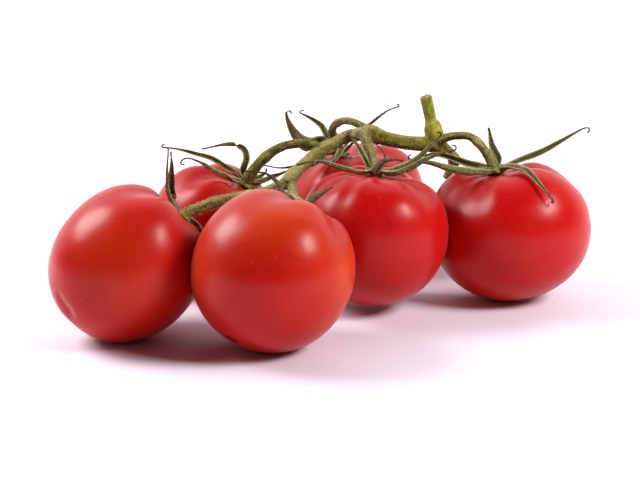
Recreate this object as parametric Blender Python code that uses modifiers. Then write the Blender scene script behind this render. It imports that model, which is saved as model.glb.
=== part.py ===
"""Truss of ripe tomatoes: six fruits still joined by their green stem, resting on a table.

The frame is Blender's: +X to the right along the row of front fruits, +Y away from
them, +Z up. The origin is on the table under the middle of the truss. Every size and
place below is in millimetres, and MM turns it into metres when a piece is made.

The pieces are the six fruits, the cut main stem with its knuckles, one stalk for each
fruit and a bare one whose fruit is gone, and the sepals of each fruit's green star.
Each fruit is one solid. Nothing in a truss is jointed, so nothing here moves.
"""
import math

import bmesh
import bpy
from mathutils import Matrix, Vector
from mathutils.bvhtree import BVHTree

MM = 0.001

# ---------------------------------------------------------------- driving dimensions
GAP = 0.35               # air kept between pieces that touch on the real truss
CONTACT_SINK = 0.4       # depth of the flat that a resting fruit is pressed into
FRUIT_SEGMENTS = 28
FRUIT_RINGS = 14
BULGE = 0.94             # exponent of the fruit's outline: below 1 the sides are fuller
BLOSSOM_DIMPLE = 0.05    # dimple at the blossom end, as a share of the half height
GROOVE_SHARPNESS = 14.0  # larger is narrower
GROOVE_POLAR = 0.62      # angle from the stem end at which a groove is deepest, radians
GROOVE_REACH = 0.62      # how far a groove runs down the fruit, radians

STALK_STEP = 3.2         # spacing of the points along a stalk
TUBE_RESOLUTION = 2      # bevel resolution: 8 sides
FRUIT_END_GAP = 0.6      # from a stalk's flared end to the fruit's skin

SEPAL_THICK = 0.8
SEPAL_ROOT = 4.6         # from the middle of the star to a sepal's root
SEPAL_STATIONS = 7
SEPAL_TIP_WIDTH = 1.0
SEPAL_LIFT = 1.5         # least height of a sepal's middle over any skin

# A fruit: its place on the table, its radius across the grooves, half its height, how
# square its shoulders are (an exponent: lower is squarer), the depth and the width (as
# a share of the radius) of the hollow at its stem end, the direction of its stem end,
# how far it hangs clear of the table, and its grooves as (azimuth in degrees, 0 at the
# front and positive to the right; depth as a share).
FRUITS = {
    "front_left": dict(
        place=(-89.6, -56.5), radius=32.0, half_height=35.0, shoulder=0.88,
        hollow=(6.0, 0.36), stem_end=(0.66, 0.30, 0.68), hang=0.0,
        grooves=((-60, 0.08), (20, 0.05), (95, 0.08), (150, 0.08))),
    "front_centre": dict(
        place=(-26.8, -71.2), radius=34.0, half_height=34.2, shoulder=0.90,
        hollow=(6.0, 0.36), stem_end=(0.50, 0.42, 0.76), hang=0.0,
        grooves=((-45, 0.09), (30, 0.07), (110, 0.07), (-120, 0.07))),
    "middle": dict(
        place=(17.9, -15.0), radius=34.6, half_height=34.3, shoulder=0.78,
        hollow=(7.5, 0.50), stem_end=(0.06, 0.0, 1.0), hang=3.3,
        grooves=((-62, 0.08), (0, 0.05), (62, 0.08), (120, 0.10), (-120, 0.10), (180, 0.07))),
    "right": dict(
        place=(84.2, 5.0), radius=37.9, half_height=34.0, shoulder=0.86,
        hollow=(7.0, 0.40), stem_end=(-0.18, 0.0, 1.0), hang=0.0,
        grooves=((-80, 0.09), (-45, 0.10), (5, 0.05), (90, 0.12), (150, 0.09), (-140, 0.08))),
    "back_left": dict(
        place=(-58.4, 11.0), radius=31.0, half_height=33.0, shoulder=0.80,
        hollow=(7.5, 0.42), stem_end=(0.42, -0.12, 0.88), hang=0.0,
        grooves=((-60, 0.10), (0, 0.08), (62, 0.08), (120, 0.09), (-120, 0.12))),
    "back_centre": dict(
        place=(12.0, 68.0), radius=36.4, half_height=33.5, shoulder=0.76,
        hollow=(8.0, 0.44), stem_end=(-0.20, -0.05, 1.0), hang=0.0,
        grooves=((-60, 0.08), (0, 0.08), (62, 0.10), (120, 0.09), (-120, 0.08))),
}

# A shoulder that swells further than the rest, or less far: its direction from the fruit's
# middle, how tight the swelling is, and how high.
LUMPS = {
    "right": ((-0.78, 0.0, 0.62), 8.0, 3.5),
    "middle": ((0.60, -0.10, 0.79), 7.0, -2.6),
    "front_centre": ((0.77, 0.15, 0.61), 25.0, 1.8),
}

# Fruits that lean on each other: both are pressed flat where they meet.
PRESSED = (("front_left", "front_centre"), ("middle", "right"))

# The main stem: points (x, y, z, radius). It runs from the joint under the cut stub to
# the knob where the two front stalks part. Its knuckles are the fatter points.
STEM_ROUTE = (
    (49.5, 21.0, 71.6, 4.2), (44.0, 21.5, 71.8, 3.6), (34.0, 22.0, 72.5, 3.4),
    (24.5, 23.0, 74.3, 3.5), (18.0, 23.0, 76.4, 4.0), (12.5, 20.0, 77.2, 3.0),
    (6.0, 16.0, 76.2, 3.1), (0.0, 12.0, 74.0, 2.5), (-6.5, 7.0, 71.5, 3.1),
    (-11.0, 3.0, 68.4, 2.7), (-16.5, -3.0, 64.6, 2.7), (-21.0, -10.0, 60.9, 3.3),
    (-23.0, -13.0, 59.0, 3.0))
STUB_ROUTE = (
    (44.0, 23.0, 94.5, 2.7), (45.6, 23.0, 87.5, 2.6), (46.8, 22.6, 82.5, 2.9),
    (47.7, 22.2, 79.0, 3.9), (48.6, 21.8, 75.5, 4.1), (50.0, 21.5, 71.5, 3.9),
    (52.5, 22.0, 67.5, 3.2))

# The stalks: points (x, y, z, radius) from the stem to the fruit.
STALK_ROUTES = {
    "right": (
        (50.5, 19.0, 73.5, 2.2), (54.5, 17.0, 76.0, 2.0), (59.5, 15.0, 77.0, 1.9),
        (64.5, 13.0, 76.8, 1.9), (69.0, 10.0, 73.5, 2.0), (73.0, 7.0, 68.0, 2.3),
        (76.0, 4.5, 62.0, 2.9), (78.5, 3.5, 56.0, 3.2)),
    "middle": (
        (8.5, 15.0, 77.5, 2.4), (13.0, 7.0, 78.0, 2.4), (16.0, -1.0, 73.5, 2.3),
        (17.2, -8.0, 69.0, 2.4), (18.2, -13.0, 64.5, 3.0), (19.5, -15.5, 55.0, 3.3)),
    "back_centre": (
        (17.0, 25.0, 78.0, 1.9), (9.5, 31.0, 81.0, 1.8), (4.5, 38.0, 80.5, 1.8),
        (0.5, 46.0, 77.5, 1.8), (-0.8, 55.0, 72.0, 2.1), (1.5, 62.0, 66.5, 2.6),
        (4.5, 66.0, 56.0, 3.0)),
    "back_left": (
        (-7.0, 7.0, 72.5, 2.1), (-12.5, 6.5, 74.3, 2.0), (-18.5, 6.0, 74.5, 2.0),
        (-25.5, 6.0, 73.0, 2.1), (-33.0, 6.5, 68.0, 2.3), (-38.5, 7.0, 61.8, 2.6),
        (-42.5, 8.0, 55.0, 3.2), (-45.5, 9.0, 49.0, 3.2)),
    "front_centre": (
        (-20.5, -13.0, 58.3, 2.3), (-19.3, -18.5, 56.0, 2.1), (-19.0, -25.5, 54.6, 2.2),
        (-18.2, -34.0, 55.0, 2.3), (-16.5, -43.0, 56.0, 2.5), (-15.0, -51.0, 56.0, 2.8),
        (-15.0, -59.0, 51.0, 3.2)),
    "front_left": (
        (-23.5, -12.5, 59.0, 2.4), (-30.0, -17.0, 57.2, 2.2), (-37.0, -22.5, 56.2, 2.1),
        (-45.0, -29.0, 56.0, 2.1), (-53.0, -36.0, 55.4, 2.5), (-60.5, -43.0, 54.0, 2.4),
        (-67.0, -48.0, 51.5, 3.0), (-72.0, -50.5, 47.0, 3.2)),
}
BARE_STALK_ROUTE = (
    (52.0, 22.5, 71.0, 2.6), (56.0, 26.0, 67.0, 2.5), (59.0, 29.0, 62.5, 2.9),
    (57.5, 30.5, 57.5, 2.2), (55.0, 30.0, 53.0, 1.6))

# The sepals of each star: width, turn of the blade at its tip in degrees, and points
# (x, y, z) from the star outwards.
SEPAL_ROUTES = {
    "front_left": (
        (3.6, 0, ((-70.5, -51.5, 57.0), (-72.8, -52.0, 63.5), (-72.8, -51.0, 71.0),
                  (-72.0, -50.0, 79.0), (-72.0, -49.0, 82.0))),
        (4.6, 0, ((-72.0, -45.5, 57.5), (-71.8, -44.5, 63.5), (-71.0, -44.5, 73.5),
                  (-71.5, -43.5, 79.5))),
        (4.4, 0, ((-61.5, -48.5, 47.5), (-59.5, -50.0, 43.0), (-59.8, -53.0, 38.0))),
        (4.4, 0, ((-66.5, -40.5, 50.0), (-65.5, -34.5, 49.5), (-66.0, -28.5, 48.0))),
        (4.4, 0, ((-62.5, -43.0, 45.5), (-60.5, -37.0, 42.0), (-61.5, -33.0, 36.0)))),
    "front_centre": (
        (4.0, 0, ((-19.5, -54.5, 60.5), (-24.0, -50.0, 63.0), (-26.8, -45.5, 66.8),
                  (-30.5, -44.0, 69.5), (-34.0, -45.0, 70.5), (-39.0, -46.0, 71.0))),
        (4.2, 0, ((-10.0, -53.0, 60.0), (-6.0, -51.0, 62.5), (-1.5, -49.0, 65.0))),
        (4.4, 0, ((-9.0, -52.0, 53.5), (-3.0, -51.0, 49.5), (1.5, -51.0, 43.0))),
        (4.4, 0, ((-11.0, -48.0, 52.5), (-7.0, -41.0, 50.0), (-7.5, -35.0, 44.0))),
        (4.4, 0, ((-21.5, -49.5, 55.0), (-27.0, -46.0, 53.0), (-32.0, -43.5, 48.0)))),
    "middle": (
        (3.2, 0, ((11.0, -20.5, 65.0), (3.5, -22.0, 67.5), (-2.0, -22.0, 69.5),
                  (-6.5, -22.0, 71.0), (-11.5, -22.0, 71.0), (-17.5, -22.0, 69.5))),
        (3.0, 0, ((13.0, -12.0, 66.0), (11.5, -10.0, 70.0), (8.5, -5.0, 74.5),
                  (3.5, 3.0, 80.0))),
        (4.6, 0, ((18.2, -22.5, 65.0), (19.0, -24.5, 68.0), (20.5, -26.0, 71.0),
                  (23.5, -27.0, 72.5), (27.0, -28.0, 73.0), (30.0, -28.0, 72.5))),
        (3.4, 0, ((26.0, -20.5, 64.5), (33.0, -22.0, 67.0), (40.0, -23.0, 71.5),
                  (47.0, -24.0, 75.0), (53.5, -24.0, 77.5), (56.5, -24.0, 76.0))),
        (3.6, 0, ((26.5, -12.5, 64.5), (34.0, -9.0, 67.0), (40.0, -5.0, 70.5),
                  (45.5, 0.0, 75.5), (50.5, 4.0, 79.0)))),
    "right": (
        (3.8, 0, ((70.5, 4.5, 62.5), (63.0, 6.0, 64.5), (50.0, 8.0, 68.5),
                  (40.5, 7.5, 68.0), (34.5, 6.0, 66.5))),
        (4.4, 0, ((71.0, -3.0, 61.5), (64.0, -6.0, 62.5), (54.0, -8.0, 64.5),
                  (44.0, -5.5, 67.3), (37.0, -1.5, 67.0), (32.0, 0.0, 65.0))),
        (4.2, 0, ((83.0, -3.0, 64.0), (88.5, -13.0, 63.0), (93.0, -22.5, 59.5),
                  (97.0, -28.0, 55.0))),
        (3.6, 0, ((86.0, 5.0, 65.0), (97.0, 6.0, 70.5), (108.5, 8.0, 76.5),
                  (117.5, 10.0, 81.5), (121.5, 10.0, 81.5))),
        (4.4, 0, ((78.0, 11.5, 65.5), (75.5, 17.0, 72.0), (74.5, 20.0, 79.5)))),
    "back_left": (
        (3.4, 0, ((-48.5, 9.0, 60.0), (-52.0, 6.5, 63.0), (-58.5, 2.5, 68.0),
                  (-66.0, -1.0, 71.0), (-73.5, -3.0, 73.5), (-81.0, -5.0, 74.5))),
        (3.4, 0, ((-48.5, 1.5, 57.5), (-53.0, -3.0, 60.5), (-57.5, -7.0, 64.0),
                  (-62.0, -10.0, 68.0), (-67.5, -13.0, 71.0), (-71.0, -14.0, 69.0))),
        (3.4, 0, ((-44.5, 14.0, 60.0), (-42.5, 17.0, 65.5), (-44.0, 19.0, 70.0),
                  (-51.5, 19.0, 72.0), (-64.0, 17.0, 70.0))),
        (3.6, 0, ((-36.0, 8.0, 54.5), (-30.0, 11.5, 56.5), (-22.5, 16.0, 59.5))),
        (4.0, 0, ((-39.5, 16.0, 54.0), (-36.5, 23.0, 54.5), (-34.0, 30.0, 56.0)))),
    "back_centre": (
        (5.2, 60, ((-5.5, 61.5, 64.0), (-11.0, 58.0, 64.5), (-16.0, 54.0, 67.0),
                   (-20.0, 52.0, 72.0), (-23.0, 51.0, 78.0), (-24.0, 51.0, 83.5))),
        (4.4, 0, ((-0.5, 70.0, 65.0), (-3.0, 71.0, 67.5), (-5.5, 74.0, 71.5),
                  (-9.0, 76.0, 74.5), (-14.0, 76.0, 77.5), (-18.0, 75.0, 79.5))),
        (3.4, 0, ((9.0, 71.5, 65.5), (13.0, 74.0, 68.5), (19.5, 76.0, 73.0),
                  (28.0, 78.0, 79.5), (35.0, 78.0, 82.5))),
        (4.4, 0, ((4.5, 57.0, 62.5), (2.5, 51.0, 60.5), (0.5, 45.0, 59.0),
                  (-2.5, 41.0, 58.0))),
        (3.6, 0, ((-3.0, 53.0, 61.0), (-7.0, 46.5, 58.5), (-12.0, 41.0, 57.0),
                  (-19.0, 36.5, 57.5), (-27.0, 34.0, 57.5), (-36.0, 32.0, 59.5))),
        (3.2, 0, ((10.5, 60.5, 65.5), (16.0, 56.5, 68.0), (21.0, 54.0, 66.5),
                  (25.5, 50.5, 62.0), (25.5, 48.0, 59.0)))),
}

COLOURS = {
    "tomato": ((0.47, 0.012, 0.010), 0.22),
    "stem": ((0.14, 0.12, 0.02), 0.75),
    "sepal": ((0.15, 0.13, 0.04), 0.80),
}


# ---------------------------------------------------------------- scene and materials
def clear_scene():
    """Remove whatever the start-up scene holds."""
    for item in list(bpy.data.objects):
        bpy.data.objects.remove(item, do_unlink=True)


def new_collection(name):
    """A collection linked to the scene."""
    collection = bpy.data.collections.new(name)
    bpy.context.scene.collection.children.link(collection)
    return collection


def plant_material(kind):
    """Principled material for a fruit, a stem or a sepal."""
    colour, roughness = COLOURS[kind]
    material = bpy.data.materials.new(kind + "_skin")
    material.use_nodes = True
    shader = material.node_tree.nodes["Principled BSDF"]
    shader.inputs["Base Color"].default_value = (*colour, 1.0)
    shader.inputs["Roughness"].default_value = roughness
    shader.inputs["Metallic"].default_value = 0.0
    return material


def add_mesh(name, mesh_data, collection, material):
    """Finish a bmesh as a named, smooth-shaded object."""
    mesh = bpy.data.meshes.new(name)
    mesh_data.to_mesh(mesh)
    mesh_data.free()
    mesh.shade_smooth()
    mesh.materials.append(material)
    piece = bpy.data.objects.new(name, mesh)
    collection.objects.link(piece)
    return piece


# ---------------------------------------------------------------- smooth routes
def smooth_route(points, count):
    """Evenly spaced points on a Catmull-Rom curve through rows of coordinates."""
    rows = [Vector(point) for point in points]
    rows = [2 * rows[0] - rows[1]] + rows + [2 * rows[-1] - rows[-2]]
    dense = []
    steps = 24
    for i in range(1, len(rows) - 2):
        p0, p1, p2, p3 = rows[i - 1:i + 3]
        for step in range(steps):
            t = step / steps
            dense.append(0.5 * (2 * p1 + (p2 - p0) * t + (2 * p0 - 5 * p1 + 4 * p2 - p3) * t * t
                                + (3 * p1 - 3 * p2 + p3 - p0) * t ** 3))
    dense.append(rows[-2])
    reach = [0.0]
    for before, after in zip(dense, dense[1:]):
        reach.append(reach[-1] + (after - before).length)
    route = []
    j = 0
    for i in range(count):
        target = reach[-1] * i / (count - 1)
        while j < len(dense) - 2 and reach[j + 1] < target:
            j += 1
        share = (target - reach[j]) / max(reach[j + 1] - reach[j], 1e-9)
        route.append(dense[j].lerp(dense[j + 1], min(max(share, 0.0), 1.0)))
    return route


def tangent_at(route, i):
    """Direction of a route at point i, from its x, y and z alone."""
    before = Vector(route[max(i - 1, 0)][:3])
    after = Vector(route[min(i + 1, len(route) - 1)][:3])
    return (after - before).normalized()


# ---------------------------------------------------------------- fruits
def fruit_turn(stem_end):
    """Matrix whose columns are the fruit's right, back and stem-end directions."""
    up = Vector(stem_end).normalized()
    front = Vector((0.0, -1.0, 0.0))
    front = (front - front.dot(up) * up).normalized()
    right = up.cross(front)
    return Matrix((right, -front, up)).transposed()


def fruit_form(direction, fruit):
    """Where a point of the unit sphere goes on the fruit, stem end up."""
    radius, half_height = fruit["radius"], fruit["half_height"]
    depth, width = fruit["hollow"]
    polar = math.acos(max(-1.0, min(1.0, direction.z)))
    azimuth = math.atan2(direction.x, -direction.y)
    rho = radius * math.sin(polar) ** BULGE
    c = math.cos(polar)
    if c > 0:
        height = half_height * c ** fruit["shoulder"]
        height -= depth * math.exp(-(rho / (width * radius)) ** 2)
    else:
        height = half_height * c
        height += BLOSSOM_DIMPLE * half_height * math.exp(-(rho / (0.14 * radius)) ** 2)
    cut = 0.0
    for angle, share in fruit["grooves"]:
        turn = azimuth - math.radians(angle)
        cut += share * math.exp(GROOVE_SHARPNESS * (math.cos(turn) - 1.0))
    fade = math.exp(-((polar - GROOVE_POLAR) / GROOVE_REACH) ** 2)
    fade *= min(1.0, rho / (0.25 * radius))
    scale = 1.0 - cut * fade
    return Vector((rho * math.sin(azimuth) * scale, -rho * math.cos(azimuth) * scale,
                   height * scale))


def make_fruit(name, fruit, collection, material):
    """One tomato: a sphere given its hollow, grooves and lean, then set on the table."""
    mesh_data = bmesh.new()
    bmesh.ops.create_uvsphere(mesh_data, u_segments=FRUIT_SEGMENTS, v_segments=FRUIT_RINGS,
                              radius=1.0)
    turn = fruit_turn(fruit["stem_end"])
    for vert in mesh_data.verts:
        vert.co = turn @ fruit_form(vert.co.normalized(), fruit)
        if name in LUMPS:
            vert.co += swelling(vert.co.normalized(), *LUMPS[name])
    lowest = min(vert.co.z for vert in mesh_data.verts)
    rise = fruit["hang"] - lowest
    if fruit["hang"] == 0.0:
        rise -= CONTACT_SINK
    place = Vector((*fruit["place"], rise))
    for vert in mesh_data.verts:
        vert.co = (vert.co + place) * MM
    if fruit["hang"] == 0.0:
        flatten_contact(mesh_data)
    for pair in PRESSED:
        if name in pair:
            press_against(mesh_data, name, pair[1 - pair.index(name)])
    return add_mesh("tomato_" + name, mesh_data, collection, material)


def swelling(outward, toward, tightness, height):
    """How far a lump moves the skin that lies in one direction from the fruit's middle."""
    cosine = outward.dot(Vector(toward).normalized())
    return height * math.exp(tightness * (cosine - 1.0)) * outward


def press_against(mesh_data, name, neighbour):
    """Hold a fruit's skin back from the upright plane where its neighbour begins."""
    own, other = FRUITS[name], FRUITS[neighbour]
    apart = Vector(other["place"]) - Vector(own["place"])
    share = own["radius"] / (own["radius"] + other["radius"])
    reach = (share * apart.length - 0.5 * GAP) * MM
    toward = Vector((*apart.normalized(), 0.0))
    origin = Vector((*own["place"], 0.0)) * MM
    for vert in mesh_data.verts:
        beyond = (vert.co - origin).dot(toward) - reach
        if beyond > 0:
            vert.co -= beyond * toward


def flatten_contact(mesh_data):
    """Cut a resting fruit flat at the table, where its own weight presses it flat."""
    geometry = mesh_data.verts[:] + mesh_data.edges[:] + mesh_data.faces[:]
    bmesh.ops.bisect_plane(mesh_data, geom=geometry, dist=1e-7, plane_co=(0, 0, 0),
                           plane_no=(0, 0, -1), clear_outer=True)
    rim = [edge for edge in mesh_data.edges if edge.is_boundary]
    bmesh.ops.holes_fill(mesh_data, edges=rim, sides=0)


# ---------------------------------------------------------------- distances
def skin_of(piece):
    """Search tree over a piece's mesh, in metres."""
    mesh_data = bmesh.new()
    mesh_data.from_mesh(piece.data)
    tree = BVHTree.FromBMesh(mesh_data)
    mesh_data.free()
    return tree


def height_over(skin, point):
    """Signed distance in millimetres from a skin to a point, with the way out."""
    spot, normal, _, distance = skin.find_nearest(point * MM)
    outward = (point * MM - spot).normalized()
    if outward.dot(normal) < -0.3:
        return -distance / MM, normal
    return distance / MM, outward


def section_points(route, i):
    """Points spread over a tube's section at point i of a route with radii."""
    along = tangent_at(route, i)
    side = along.orthogonal().normalized()
    other = along.cross(side)
    centre, radius = Vector(route[i][:3]), route[i][3]
    points = [centre]
    for reach in (0.35 * radius, 0.7 * radius, radius):
        for k in range(12):
            angle = math.tau * k / 12
            points.append(centre + reach * (math.cos(angle) * side + math.sin(angle) * other))
    return points


def section_is_clear(route, i, skin, gap):
    """Whether a tube's section keeps its gap to a skin."""
    return all(height_over(skin, point)[0] >= gap for point in section_points(route, i))


# ---------------------------------------------------------------- stem and stalks
def make_tube(name, route, collection, material):
    """A round tube along points (x, y, z, radius), as a curve with filled caps."""
    curve = bpy.data.curves.new(name, "CURVE")
    curve.dimensions = "3D"
    curve.bevel_depth = MM
    curve.bevel_resolution = TUBE_RESOLUTION
    curve.use_fill_caps = True
    spline = curve.splines.new("POLY")
    spline.points.add(len(route) - 1)
    for spot, point in zip(spline.points, route):
        spot.co = (*(Vector(point[:3]) * MM), 1.0)
        spot.radius = point[3]
    spline.use_smooth = True
    curve.materials.append(material)
    piece = bpy.data.objects.new(name, curve)
    collection.objects.link(piece)
    return piece


def tube_to_mesh(tube, collection):
    """Turn a tube's curve into a closed mesh object of the same name and place."""
    bpy.context.view_layer.update()
    evaluated = tube.evaluated_get(bpy.context.evaluated_depsgraph_get())
    mesh = bpy.data.meshes.new_from_object(evaluated)
    mesh_data = bmesh.new()
    mesh_data.from_mesh(mesh)
    bmesh.ops.remove_doubles(mesh_data, verts=mesh_data.verts, dist=1e-6)
    bmesh.ops.recalc_face_normals(mesh_data, faces=mesh_data.faces)
    mesh_data.to_mesh(mesh)
    mesh_data.free()
    mesh.shade_smooth()
    name = tube.name
    matrix = tube.matrix_world.copy()
    bpy.data.objects.remove(tube, do_unlink=True)
    piece = bpy.data.objects.new(name, mesh)
    piece.matrix_world = matrix
    collection.objects.link(piece)
    return piece


def route_count(points):
    """How many evenly spaced points a route gets."""
    length = sum((Vector(b[:3]) - Vector(a[:3])).length for a, b in zip(points, points[1:]))
    return max(5, round(length / STALK_STEP) + 1)


def make_main_stem(collection, guides, material):
    """The cut stub joined to the stem that carries the stalks, as one solid."""
    stem = tube_to_mesh(make_tube("main_stem", smooth_route(STEM_ROUTE, route_count(STEM_ROUTE)),
                                  collection, material), collection)
    stub = tube_to_mesh(make_tube("stub_guide", smooth_route(STUB_ROUTE, route_count(STUB_ROUTE)),
                                  guides, material), guides)
    stub.hide_render = True
    stub.display_type = "WIRE"
    join = stem.modifiers.new("join_stub", "BOOLEAN")
    join.operation = "UNION"
    join.solver = "EXACT"
    join.object = stub
    bpy.context.view_layer.update()
    evaluated = stem.evaluated_get(bpy.context.evaluated_depsgraph_get())
    joined = bpy.data.meshes.new_from_object(evaluated)
    stem.modifiers.clear()
    stem.data = joined
    return stem


def make_stalk(name, points, collection, material, stem_skin, fruit_skin=None):
    """One stalk, trimmed so that both of its ends stand just clear of what they meet."""
    fine = smooth_route(points, 6 * route_count(points))
    while True:
        route = smooth_route(fine, route_count(fine))
        near_stem = range(len(route) // 2)
        if not all(section_is_clear(route, i, stem_skin, GAP) for i in near_stem):
            fine = fine[1:]
        elif fruit_skin and not section_is_clear(route, len(route) - 1, fruit_skin, FRUIT_END_GAP):
            fine = fine[:-1]
        else:
            break
    return tube_to_mesh(make_tube(name, route, collection, material), collection)


# ---------------------------------------------------------------- sepals
def clear_route(points, skins):
    """Move points out of any skin until they stand at least SEPAL_LIFT over it."""
    cleared = []
    for point in points:
        spot = Vector(point)
        for _ in range(4):
            for skin, lift in skins:
                height, outward = height_over(skin, spot)
                if height < lift:
                    spot = spot + (lift - height) * outward
        cleared.append(spot)
    return cleared


def sepal_width(share, width):
    """Width of a blade at a share of its length: narrow root, full middle, fine tip."""
    swell = math.sin(math.pi * (0.20 + 0.80 * share) ** 0.8)
    return max(SEPAL_TIP_WIDTH, width * swell)


def make_sepal(name, star, up, blade, skins, collection, material):
    """One sepal: a narrow blade swept along its route, one cell thick."""
    width, turn, points = blade
    outward = Vector(points[0]) - star
    outward = (outward - 0.5 * outward.dot(up) * up).normalized()
    root = star + SEPAL_ROOT * outward
    route = clear_route(smooth_route((root, *points), SEPAL_STATIONS), skins)
    across = up.cross(outward).normalized()
    mesh_data = bmesh.new()
    rows = []
    for i, spot in enumerate(route):
        share = i / (SEPAL_STATIONS - 1)
        along = tangent_at(route, i)
        side = (across - across.dot(along) * along).normalized()
        side = Matrix.Rotation(math.radians(turn * share), 3, along) @ side
        half = 0.5 * sepal_width(share, width)
        rows.append([mesh_data.verts.new((spot + k * half * side) * MM) for k in (-1, 0, 1)])
    for row, following in zip(rows, rows[1:]):
        for k in range(2):
            mesh_data.faces.new((row[k], row[k + 1], following[k + 1], following[k]))
    bmesh.ops.recalc_face_normals(mesh_data, faces=mesh_data.faces)
    piece = add_mesh(name, mesh_data, collection, material)
    shell = piece.modifiers.new("thickness", "SOLIDIFY")
    shell.thickness = SEPAL_THICK * MM
    shell.offset = 0.0
    return piece


# ---------------------------------------------------------------- assembly
def build():
    """Make every piece of the truss."""
    clear_scene()
    collection = new_collection("tomato_truss")
    guides = new_collection("guides")
    materials = {kind: plant_material(kind) for kind in COLOURS}
    fruits = {name: make_fruit(name, fruit, collection, materials["tomato"])
              for name, fruit in FRUITS.items()}
    fruit_skins = {name: skin_of(piece) for name, piece in fruits.items()}
    stem = make_main_stem(collection, guides, materials["stem"])
    stem_skin = skin_of(stem)
    green_skins = [stem_skin]
    for name, points in STALK_ROUTES.items():
        stalk = make_stalk("stalk_" + name, points, collection, materials["stem"],
                           stem_skin, fruit_skins[name])
        green_skins.append(skin_of(stalk))
    bare = make_stalk("bare_stalk", BARE_STALK_ROUTE, collection, materials["stem"], stem_skin)
    green_skins.append(skin_of(bare))
    for name, blades in SEPAL_ROUTES.items():
        up = Vector(FRUITS[name]["stem_end"]).normalized()
        star = star_centre(STALK_ROUTES[name], fruit_skins[name])
        for number, blade in enumerate(blades, start=1):
            clearance = 0.5 * blade[0] + GAP
            skins = [(skin, SEPAL_LIFT) for skin in fruit_skins.values()]
            skins += [(skin, clearance) for skin in green_skins]
            make_sepal(f"sepal_{name}_{number}", star, up, blade, skins, collection,
                       materials["sepal"])


def star_centre(points, skin):
    """Where a stalk's route meets its fruit: the middle of the green star."""
    for point in reversed(smooth_route(points, 120)):
        spot = Vector(point[:3])
        if height_over(skin, spot)[0] >= SEPAL_LIFT:
            return spot
    return Vector(points[-1][:3])


build()
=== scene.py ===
"""Truss of ripe tomatoes on a white table: the looks of every piece.

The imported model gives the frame: metres, +X to the right along the front fruits, +Y
away from them, +Z up, the origin on the table. Routes and sizes are in millimetres.
"""
import math

import bmesh
import bpy
import numpy as np
from mathutils import Matrix, Vector
from mathutils.bvhtree import BVHTree
from mathutils.kdtree import KDTree


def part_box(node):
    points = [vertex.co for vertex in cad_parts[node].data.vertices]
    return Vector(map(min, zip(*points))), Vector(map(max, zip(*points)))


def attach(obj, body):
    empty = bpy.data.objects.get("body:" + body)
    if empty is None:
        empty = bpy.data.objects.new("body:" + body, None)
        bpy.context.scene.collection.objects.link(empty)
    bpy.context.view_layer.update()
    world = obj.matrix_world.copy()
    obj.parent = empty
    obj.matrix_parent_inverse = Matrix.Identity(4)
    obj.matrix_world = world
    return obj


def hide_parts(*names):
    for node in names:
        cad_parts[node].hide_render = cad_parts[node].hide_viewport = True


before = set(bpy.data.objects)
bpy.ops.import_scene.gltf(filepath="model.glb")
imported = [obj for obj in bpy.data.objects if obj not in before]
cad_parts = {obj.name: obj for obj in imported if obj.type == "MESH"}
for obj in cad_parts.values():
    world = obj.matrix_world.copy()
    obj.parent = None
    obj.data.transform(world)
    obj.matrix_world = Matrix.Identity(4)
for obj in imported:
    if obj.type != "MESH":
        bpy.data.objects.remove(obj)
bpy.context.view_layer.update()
MM = 0.001


# ------------------------------------------------------------ table, light and camera
# The truss lies on a sheet of matt white paper that runs on behind it. A softbox stands
# on each side, and the studio is white behind and above and dark behind the camera.
FLOOR_HALF = 6.0                 # metres
CAMERA_PLACE = (-0.007, -0.574, 0.1724)
CAMERA_PITCH = 14.0              # degrees down
# A softbox: where it stands, the side of its square and its power.
SOFTBOXES = {
    "softbox_left": ((-0.50, 0.07, 0.47), 0.30, 4.5),
    "softbox_right": ((0.46, -0.27, 0.42), 0.20, 3.9),
}
PAINTED_GLOW_REACH = (0.15, 0.55)              # where the paper's painted glow starts and ends to grow, metres away
PAINTED_GLOW_STRENGTH = 0.70                 # how strongly the paper glows there: painted light
LIT_AT = (0.0, -0.01, 0.03)      # what the softboxes point at


def hexcolour(code, alpha=1.0):
    """Linear colour of an sRGB hex code."""
    channels = [int(code[i:i + 2], 16) / 255 for i in (1, 3, 5)]
    return (*(c / 12.92 if c <= 0.04045 else ((c + 0.055) / 1.055) ** 2.4 for c in channels), alpha)


def add(tree, kind, inputs=(), **settings):
    """Add a node: its settings, then its inputs as values, sockets or nodes, by place or name."""
    node = tree.nodes.new(kind)
    for name, value in settings.items():
        setattr(node, name, value)
    for key, value in (inputs.items() if isinstance(inputs, dict) else enumerate(inputs)):
        if isinstance(value, bpy.types.Node):
            value = next(socket for socket in value.outputs if socket.enabled)
        if isinstance(value, bpy.types.NodeSocket):
            tree.links.new(value, node.inputs[key])
        elif value is not None:
            node.inputs[key].default_value = value
    return node


# The kinds of node that come most often in the trees below.
MATH, VECTOR, RANGE = "ShaderNodeMath", "ShaderNodeVectorMath", "ShaderNodeMapRange"
MIX, NOISE = "ShaderNodeMix", "ShaderNodeTexNoise"


def new_material(name, finish):
    """A material of this finish: it, its node tree, its shader and its object coordinates."""
    material = bpy.data.materials.new(name)
    material.use_nodes = True
    shader = material.node_tree.nodes["Principled BSDF"]
    for socket, value in finish.items():
        shader.inputs[socket].default_value = value
    position = add(material.node_tree, "ShaderNodeTexCoord").outputs["Object"]
    return material, material.node_tree, shader, position


def set_out(name, data):
    """Stand some data in the scene as an object."""
    thing = bpy.data.objects.new(name, data)
    bpy.context.scene.collection.objects.link(thing)
    return thing


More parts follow.
